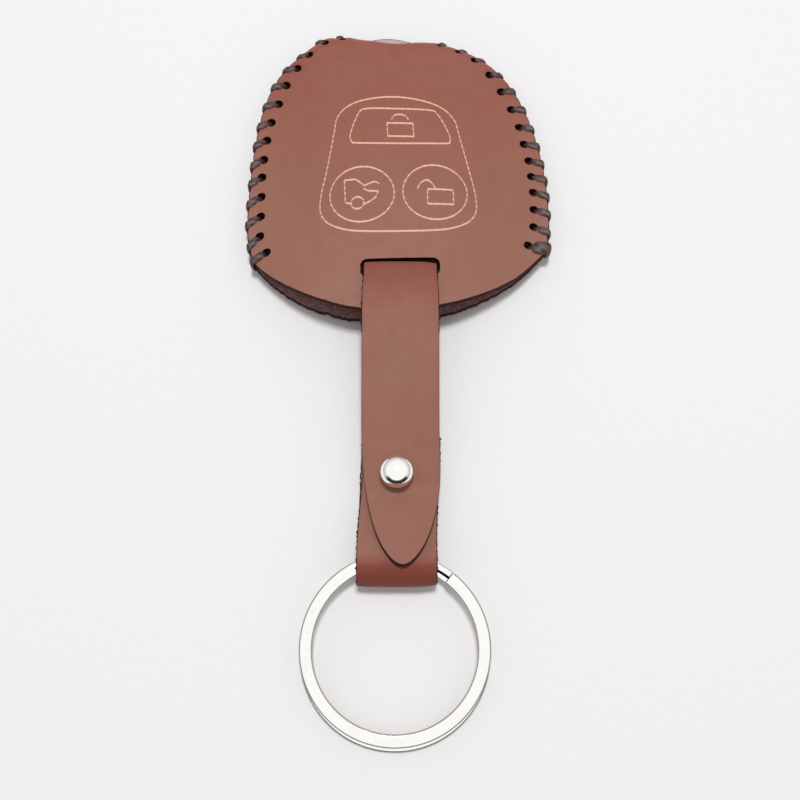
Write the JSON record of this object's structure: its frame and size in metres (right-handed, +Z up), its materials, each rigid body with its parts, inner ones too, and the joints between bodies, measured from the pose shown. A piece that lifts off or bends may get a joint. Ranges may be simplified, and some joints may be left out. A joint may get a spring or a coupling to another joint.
{
  "type": "key fob cover",
  "caption": "Stitched leather cover for a remote key, with an open mouth, a buttoned strap through a slot in the front and a flat split ring in the strap's loop.",
  "frame": {"origin": "on the table under the middle of the whole length, on the strap's middle line", "axes": "+X to the right of the cover, +Y towards the cover's closed top, +Z up from the table through the front panel"},
  "size_m": [0.0548, 0.124, 0.0097],
  "materials": {
    "panel_leather": "smooth chestnut full grain, semi-matte",
    "strap_leather": "smooth chestnut full grain, semi-matte",
    "thread": "waxed, dark",
    "nickel": "polished nickel plate"
  },
  "bodies": {
    "cover": {"front_panel": "panel_leather", "back_panel": "panel_leather", "left_thread": "thread", "right_thread": "thread", "strap_bridge": "strap_leather"},
    "strap": {"strap_neck": "strap_leather", "strap_back_leg": "strap_leather", "stud_ball": "nickel", "stud_screw": "nickel"},
    "flap": {"strap_flap": "strap_leather"},
    "ring": {"split_ring": "nickel"}
  },
  "joints": [
    {"name": "strap_swing", "type": "hinge", "parent": "cover", "child": "strap", "pos_m": [0, 0.00623, 0.0091], "axis": [-1, 0, 0], "range_deg": [0, 60]},
    {"name": "flap_open", "type": "hinge", "parent": "strap", "child": "flap", "pos_m": [0, 0.00015, 0.00785], "axis": [-1, 0, 0], "range_deg": [0, 110], "deforming": ["strap_flap"]},
    {"name": "ring_swing", "type": "hinge", "parent": "strap", "child": "ring", "pos_m": [0, -0.03387, 0.00345], "axis": [-1, 0, 0], "range_deg": [0, 150]}
  ]
}
